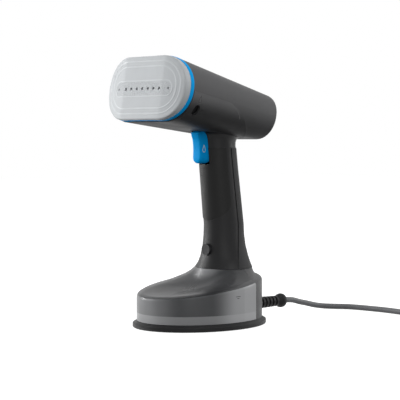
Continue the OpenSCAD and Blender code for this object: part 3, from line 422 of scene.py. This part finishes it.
coil = [coil_point(i / TURN_POINTS) for i in range(int(TURNS * TURN_POINTS) + 1)]
route = [p * MM for p in through(LEAD) + coil + through([coil[-1]] + TAIL)[1:]]
curve = bpy.data.curves.new("mains_cord", "CURVE")
curve.dimensions = "3D"
curve.bevel_depth = CORD_D / 2 * MM
curve.bevel_resolution = 5
spline = curve.splines.new("POLY")
spline.points.add(len(route) - 1)
for point, place in zip(spline.points, route):
    point.co = (*place, 1)
spline.use_smooth = True
curve.materials.append(MATS["cord"])
mains = link(bpy.data.objects.new("mains_cord", curve))
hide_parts("power_cord", "cord_coil", "cord_tail")
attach(mains, "housing")


# Shapes laid on the CAD surfaces ---------------------------------------------------------------
FAR = 90    # a distance in mm that lies outside the part


def head_point(x, u, a):
    """Point of the head: x across, u up the plate, a back along the barrel, all in mm."""
    return Vector((x, PLATE_Y + math.cos(HEAD_TILT) * a + math.sin(HEAD_TILT) * u,
                   PLATE_Z - math.sin(HEAD_TILT) * a + math.cos(HEAD_TILT) * u)) * MM


trees = {}


def tree_of(node):
    """Search tree of a CAD node's surface, made once for each node."""
    if node not in trees:
        mesh = nodes[node].data
        corners = [v.co.copy() for v in mesh.vertices]
        trees[node] = BVHTree.FromPolygons(corners, [p.vertices[:] for p in mesh.polygons])
    return trees[node]


def skin(rings, size, closed):
    """Faces that join rings of size points: closed into a loop, or else with both ends shut."""
    faces = [(i * size + j, i * size + (j + 1) % size,
              (i + 1) % rings * size + (j + 1) % size, (i + 1) % rings * size + j)
             for i in range(rings if closed else rings - 1) for j in range(size)]
    if not closed:
        faces += [tuple(range(size))[::-1], tuple((rings - 1) * size + j for j in range(size))]
    return faces


def mesh_piece(name, verts, faces, mat, body):
    """Object from points and faces, with its material and the body that it rides on."""
    mesh = bpy.data.meshes.new(name)
    mesh.from_pydata(verts, [], faces)
    bm = bmesh.new()
    bm.from_mesh(mesh)
    bmesh.ops.recalc_face_normals(bm, faces=bm.faces)
    bm.to_mesh(mesh)
    bm.free()
    mesh.materials.append(MATS[mat])
    obj = link(bpy.data.objects.new(name, mesh))
    obj.modifiers.new("smooth", "NODES").node_group = SMOOTH
    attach(obj, body)
    return obj


# Plate and ring --------------------------------------------------------------------------------
ARC_POINTS, TRACK_PACE = 21, 1.5
# The two ribs round the face by how far they lie inside its edge, and the rib round the band.
FACE_RIBS = {"plate_rib_outer": 5.6, "plate_rib_inner": 10.7}
RIB_W, RIB_H, BAND_RIB_W, BAND_RIB_H, BAND_FLAT = 1.9, 0.16, 1.6, 0.15, 0.05
# Half of a rib's section as shares of its width and height; its last point lies under the face.
RIB_HALF = [(0.12, 0.94), (0.34, 0.55), (0.5, 0), (0.4, -1)]
RING_BOW, RING_L, RING_PROUD, RING_EDGE, RING_SEAM, RING_INNER = 9.2, 4.0, 0.3, 0.25, 0.1, -1


def racetrack(w, h, r, rise):
    """Rounded rectangle as (x, u, normal x, normal u) points about TRACK_PACE mm apart."""
    out = []
    for q in range(4):
        arc = [math.radians(90 * (q + j / (ARC_POINTS - 1))) for j in range(ARC_POINTS)]
        cx = (w / 2 - r) * (1 if q in (0, 3) else -1)
        cu = (h / 2 - r) * (1 if q in (0, 1) else -1)
        out += [(cx + r * math.cos(t), cu + r * math.sin(t), math.cos(t), math.sin(t)) for t in arc]
        straight = w - 2 * r if q % 2 == 0 else h - 2 * r
        x, u, nx, nu = out[-1]
        steps = max(int(straight / TRACK_PACE), 1)
        out += [(x - nu * straight * k / steps, u + nx * straight * k / steps, nx, nu)
                for k in range(1, steps)]
    return [(x, u + rise, nx, nu) for x, u, nx, nu in out]


def inset_track(inset):
    """Racetrack that lies inside the plate's edge."""
    return racetrack(PLATE_W - 2 * inset, PLATE_H - 2 * inset, PLATE_H / 2 - CORNER_FLAT - inset,
                     PLATE_RISE)


def on_face(x, u, lift):
    """Point that stands lift mm off the steam plate."""
    outside = head_point(x, u, -FAR)
    place, normal = tree_of("steam_plate").ray_cast(outside, head_point(x, u, FAR) - outside)[:2]
    return place + normal * lift * MM


def plate_rib(name, track, width, height):
    """Low rounded rib that runs round the plate's face, sunk a little into it."""
    profile = RIB_HALF + [(-d, h) for d, h in RIB_HALF[::-1]]
    verts = [on_face(x + nx * d * width, u + nu * d * width, h * height)
             for x, u, nx, nu in track for d, h in profile]
    mesh_piece(name, verts, skin(len(track), len(profile), True), "rib", "housing")


def bow(x):
    """How far the ring's bowed edge falls back at x mm from the middle of the head."""
    r = ((PLATE_W / 2) ** 2 + RING_BOW ** 2) / (2 * RING_BOW)
    return r - math.sqrt(r * r - min(x * x, r * r))


def accent_ring():
    """Blue ring behind the plate, with its front edge rounded off."""
    back = RING_L - RING_SEAM
    section = [(RING_PROUD, RING_EDGE), (RING_PROUD, back), (RING_INNER, back),
               (RING_INNER, RING_SEAM), (RING_PROUD - RING_EDGE, RING_SEAM)]
    track = inset_track(0)
    verts = [head_point(x + nx * g, u + nu * g, bow(x + nx * g) + a)
             for x, u, nx, nu in track for g, a in section]
    ring = mesh_piece("accent_trim", verts, skin(len(track), len(section), True), "blue",
                      "housing")
    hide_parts("accent_ring")


accent_ring()
for name, inset in FACE_RIBS.items():
    plate_rib(name, inset_track(inset), RIB_W, RIB_H)
plate_rib("plate_rib_band", racetrack(BAND_W, BAND_H, BAND_H / 2 - BAND_FLAT, 0),
          BAND_RIB_W, BAND_RIB_H)


# Trigger ---------------------------------------------------------------------------------------
# Its front edge as (z, y) in mm from below to above, and its rear, half width and corners.
TRIGGER_FRONT = [(160, -5.4), (165.5, -5.2), (170, -4.8), (176, -4.7), (182, -5.1), (186.5, -5.9),
                 (189.5, -7.4), (192.5, -7.9), (194, -4), (196, -1.9), (203, -1.6)]
TRIGGER_REAR, TRIGGER_HALF, REAR_R, FRONT_R = 8.9, 6.45, 1.2, 2.6
CORNER_POINTS, MOST_ROUND = 7, 0.6      # points on a corner; its largest radius as a share of half
# Above the neck it is narrower, inside the handle.
NECK_Z, NECK_HALF, NECK_REAR = 193.5, 4.35, 5.9
# Below, its sides close to a tip over TIP_TALL, and its front and rear curve in over HEEL_TALL.
TIP_Z, TIP_TALL, TIP_HALF = 168.5, 6.9, 1.2
HEEL_Z, HEEL_TALL, HEEL_FRONT, HEEL_REAR = 165.5, 4, 3, 4
TRIGGER_HEIGHTS = ([161.65, 161.9, 162.4, 163.2, 164.2, 165.5, 167, 168.5]
                   + [171 + 3 * k for k in range(8)] + [193.4, 193.6, 196, 202])


def round_off(depth, size):
    """Share that falls along a quarter of an ellipse from 1 at depth 0 to 0 at depth size."""
    return math.sqrt(max(1 - (depth / size) ** 2, 0))


def trigger_section(z):
    """Half width and front and rear y of the trigger at a height, in mm."""
    i = max(k for k in range(len(TRIGGER_FRONT) - 1) if TRIGGER_FRONT[k][0] <= z)
    (z0, y0), (z1, y1) = TRIGGER_FRONT[i:i + 2]
    front, rear, half = y0 + (y1 - y0) * (z - z0) / (z1 - z0), TRIGGER_REAR, TRIGGER_HALF
    if z > NECK_Z:
        rear, half = NECK_REAR, NECK_HALF
    if z < TIP_Z:
        half = TIP_HALF + (TRIGGER_HALF - TIP_HALF) * round_off(TIP_Z - z, TIP_TALL)
    if z < HEEL_Z:
        fall = 1 - round_off(HEEL_Z - z, HEEL_TALL)
        front, rear = front + HEEL_FRONT * fall, rear - HEEL_REAR * fall
    return half, front, rear


def trigger_ring(z):
    """Outline of the trigger at a height, with its four corners rounded."""
    half, front, rear = trigger_section(z)
    out = []
    corners = ((1, rear, REAR_R), (-1, rear, REAR_R), (-1, front, FRONT_R), (1, front, FRONT_R))
    for q, (side, y, r) in enumerate(corners):
        r = min(r, half * MOST_ROUND)
        cy = y - r if q < 2 else y + r
        for j in range(CORNER_POINTS):
            t = math.radians(90 * (q + j / (CORNER_POINTS - 1)))
            out.append(Vector((side * (half - r) + r * math.cos(t), cy + r * math.sin(t), z)) * MM)
    return out


rings = [trigger_ring(z) for z in TRIGGER_HEIGHTS]
blade = mesh_piece("trigger_blade", [p for r in rings for p in r],
                   skin(len(rings), len(rings[0]), False), "trigger", "trigger")
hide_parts("trigger")


# Small marks -----------------------------------------------------------------------------------
LINE_ROOT, DROP_POINTS, DROP_TAPER, SIDE_PIECES = 0.3, 20, 1.6, 4
# Corners of the align mark as (u, a), and the bead along the saddle's upper edge as (a, u); the
# bead's pale colour is a painted highlight along that edge.
ALIGN_MARK = [(-2.8, 24.5), (-9.4, 22.1), (-9.4, 26.9)]
BEAD = ([(a, -0.9 - 0.0226 * a) for a in range(9, 68, 4)]
        + [(71, -3.7), (77, -5.6), (82, -8.2), (86, -11.4), (88, -14)])
# Level ticks on the tank: y of the front end, z, and points 1 mm apart.
LEVEL_TICKS = [(-2.6, 32.4, 7), (-1.1, 30.6, 4)]


def stroke(node, points, toward, width, lift, closed=False):
    """Vertices and faces of a thin line on a node's surface, from points in mm cast toward it."""
    toward = Vector(toward)
    hits = [tree_of(node).ray_cast(Vector(p) * MM, toward)[:2] for p in points]
    hits = [(a, n if n.dot(toward) < 0 else -n) for a, n in hits if a is not None]
    verts = []
    for i, (place, normal) in enumerate(hits):
        before = hits[i - 1][0] if closed or i else place
        after = hits[(i + 1) % len(hits)][0] if closed or i + 1 < len(hits) else place
        side = (after - before).cross(normal).normalized() * width / 2 * MM
        for s, h in ((-1, lift), (1, lift), (1, -LINE_ROOT), (-1, -LINE_ROOT)):
            verts.append(place + side * s + normal * h * MM)
    return verts, skin(len(hits), 4, closed)


def mark(name, strokes, mat, body):
    """One piece from several strokes."""
    verts, faces = [], []
    for v, f in strokes:
        faces += [tuple(len(verts) + i for i in face) for face in f]
        verts += v
    mesh_piece(name, verts, faces, mat, body)


def drop(y, z, r, tall):
    """Outline of a plain drop that stands on its round end, beside the part."""
    turn = [2 * math.pi * k / DROP_POINTS for k in range(DROP_POINTS)]
    return [(FAR, y + r * math.sin(t) * math.sin(t / 2) ** DROP_TAPER, z + tall / 2 * math.cos(t))
            for t in turn]


mark("trigger_drop_mark",
     [stroke("trigger", drop(y=-0.6, z=176.6, r=2.5, tall=7.4), (-1, 0, 0), width=0.75,
             lift=0.06, closed=True)],
     "print", "trigger")
for end, side in (("right", 1), ("left", -1)):
    inward = (-side, 0, 0)
    tips = [head_point(side * FAR, u, a) / MM for u, a in ALIGN_MARK]
    outline = [tips[i].lerp(tips[(i + 1) % 3], k / SIDE_PIECES)
               for i in range(3) for k in range(SIDE_PIECES)]
    mark("align_mark_" + end,
         [stroke("saddle", outline, inward, width=0.75, lift=0.05, closed=True)],
         "print_dark", "housing")
    bead = [head_point(side * FAR, u, a) / MM for a, u in BEAD]
    # The bead is raised a little; its pale colour is a painted highlight along the saddle's edge.
    mark("saddle_bead_" + end, [stroke("saddle", bead, inward, width=0.8, lift=0.08)],
         "painted_bead_highlight", "housing")
    ticks = [[(side * FAR, y + k, z) for k in range(count)] for y, z, count in LEVEL_TICKS]
    mark("level_mark_" + end,
         [stroke("water_tank", tick, inward, width=0.55, lift=0.06) for tick in ticks],
         "print_dark", "tank")


# Stage and light -------------------------------------------------------------------------------
WHITE = (1, 1, 1, 1)
SKY_FILL, SKY_SEEN = 0.2, 1.0
FLOOR_SIZE, FLOOR_AT = 8, -0.0002


def seen_rays(tree):
    """1 where a ray comes from the camera, a mirror or glass."""
    path = tree.nodes.new("ShaderNodeLightPath")
    camera_ray, mirror_ray, glass_ray = (path.outputs[name] for name in (
        "Is Camera Ray", "Is Glossy Ray", "Is Transmission Ray"))
    calc = calculator(tree)
    return calc("MAXIMUM", calc("MAXIMUM", camera_ray, mirror_ray), glass_ray)


def by_ray(tree, hidden, seen, output):
    """Shows one shader to the camera, mirrors and glass, and another to all other rays."""
    pick = tree.nodes.new("ShaderNodeMixShader")
    tree.links.new(seen_rays(tree), pick.inputs[0])
    tree.links.new(hidden.outputs[0], pick.inputs[1])
    tree.links.new(seen.outputs[0], pick.inputs[2])
    tree.links.new(pick.outputs[0], tree.nodes[output].inputs[0])


world = bpy.data.worlds.new("studio")
scene.world = world
world.use_nodes = True
wt = world.node_tree
fill, bright = wt.nodes["Background"], wt.nodes.new("ShaderNodeBackground")
for sky, strength in ((fill, SKY_FILL), (bright, SKY_SEEN)):
    sky.inputs["Color"].default_value = WHITE
    sky.inputs["Strength"].default_value = strength
by_ray(wt, fill, bright, "World Output")

bpy.ops.mesh.primitive_plane_add(size=FLOOR_SIZE, location=(0, 0, FLOOR_AT))
floor = bpy.context.object
floor.name = "floor"
# Seen directly or in a mirror the paper is white and keeps a soft shadow; all other light finds it
# dark grey.
paper = bpy.data.materials.new("floor_paper")
paper.use_nodes = True
pt = paper.node_tree
matt = pt.nodes["Principled BSDF"]
matt.inputs["Base Color"].default_value = (0.08, 0.08, 0.08, 1)
matt.inputs["Roughness"].default_value = 0.9
glow, catch = pt.nodes.new("ShaderNodeEmission"), pt.nodes.new("ShaderNodeBsdfDiffuse")
glow.inputs["Strength"].default_value = 0.9
catch.inputs["Color"].default_value = (0.55, 0.55, 0.55, 1)
both = pt.nodes.new("ShaderNodeAddShader")
pt.links.new(glow.outputs[0], both.inputs[0])
pt.links.new(catch.outputs[0], both.inputs[1])
by_ray(pt, matt, both, "Material Output")
floor.data.materials.append(paper)


def area_light(name, place, aim_z, size, watts):
    """Rectangular lamp that looks at a height on the part's middle line; places in metres."""
    lamp = bpy.data.lights.new(name, "AREA")
    lamp.shape = "RECTANGLE"
    lamp.size, lamp.size_y = size
    lamp.energy = watts
    obj = link(bpy.data.objects.new(name, lamp))
    obj.location = place
    look_along(obj, Vector((0, 0, aim_z)) - obj.location)


area_light("key", (-1.4, -1.6, 0.42), 0.15, (0.9, 0.8), 15.5)
area_light("edge", (-1.9, -0.7, 0.5), 0.12, (0.4, 1.6), 30)
area_light("rim", (0.9, 1.9, 0.7), 0.12, (0.6, 1.6), 15)
area_light("side", (1.7, -0.9, 0.7), 0.12, (0.9, 1.4), 10)
area_light("top", (0.5, -0.2, 2.0), 0.1, (1.2, 1.2), 13)
